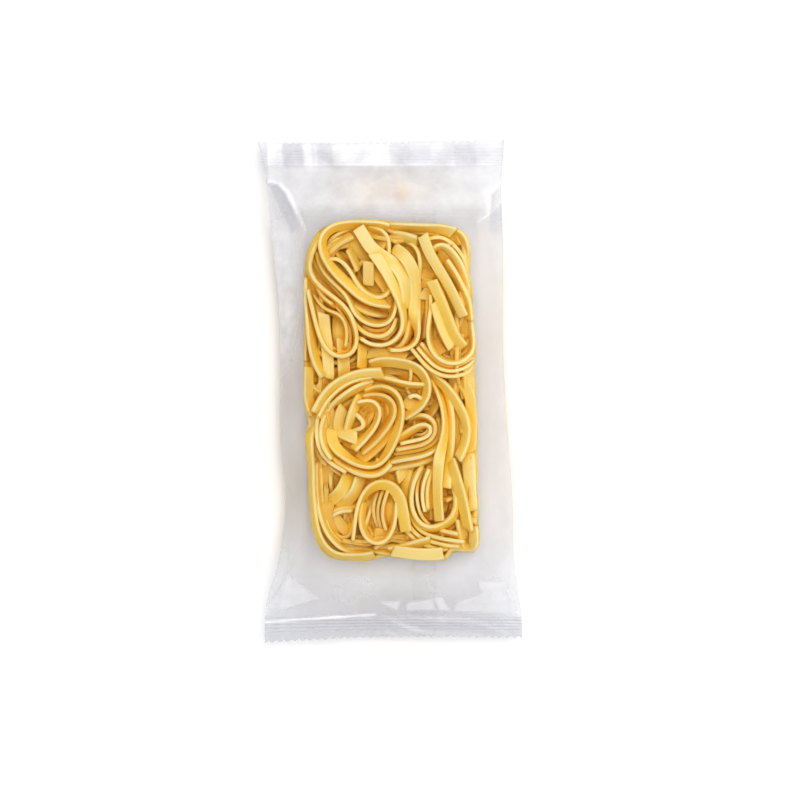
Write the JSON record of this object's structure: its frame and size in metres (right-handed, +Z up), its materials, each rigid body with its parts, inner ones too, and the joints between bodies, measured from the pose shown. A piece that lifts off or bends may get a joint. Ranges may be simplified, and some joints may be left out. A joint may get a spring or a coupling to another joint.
{
  "type": "pack of tagliatelle",
  "caption": "Clear sealed pillow pack lying on its back, with a pressed oblong block of cooked ribbon noodles showing through the film.",
  "frame": {"origin": "on the surface the pack lies on, under the middle of its outline", "axes": "+Z up out of the shown side, +Y along the pack to its upper seal, +X to the right of the shown side"},
  "size_m": [0.1264, 0.241, 0.028],
  "materials": {
    "clear_film": "glossy clear film, whiter at the crimped end seals",
    "pasta": "moist cooked egg pasta with a soft gloss"
  },
  "bodies": {
    "root": {"film_bag": "clear_film", "noodle_block": "pasta"}
  },
  "joints": []
}
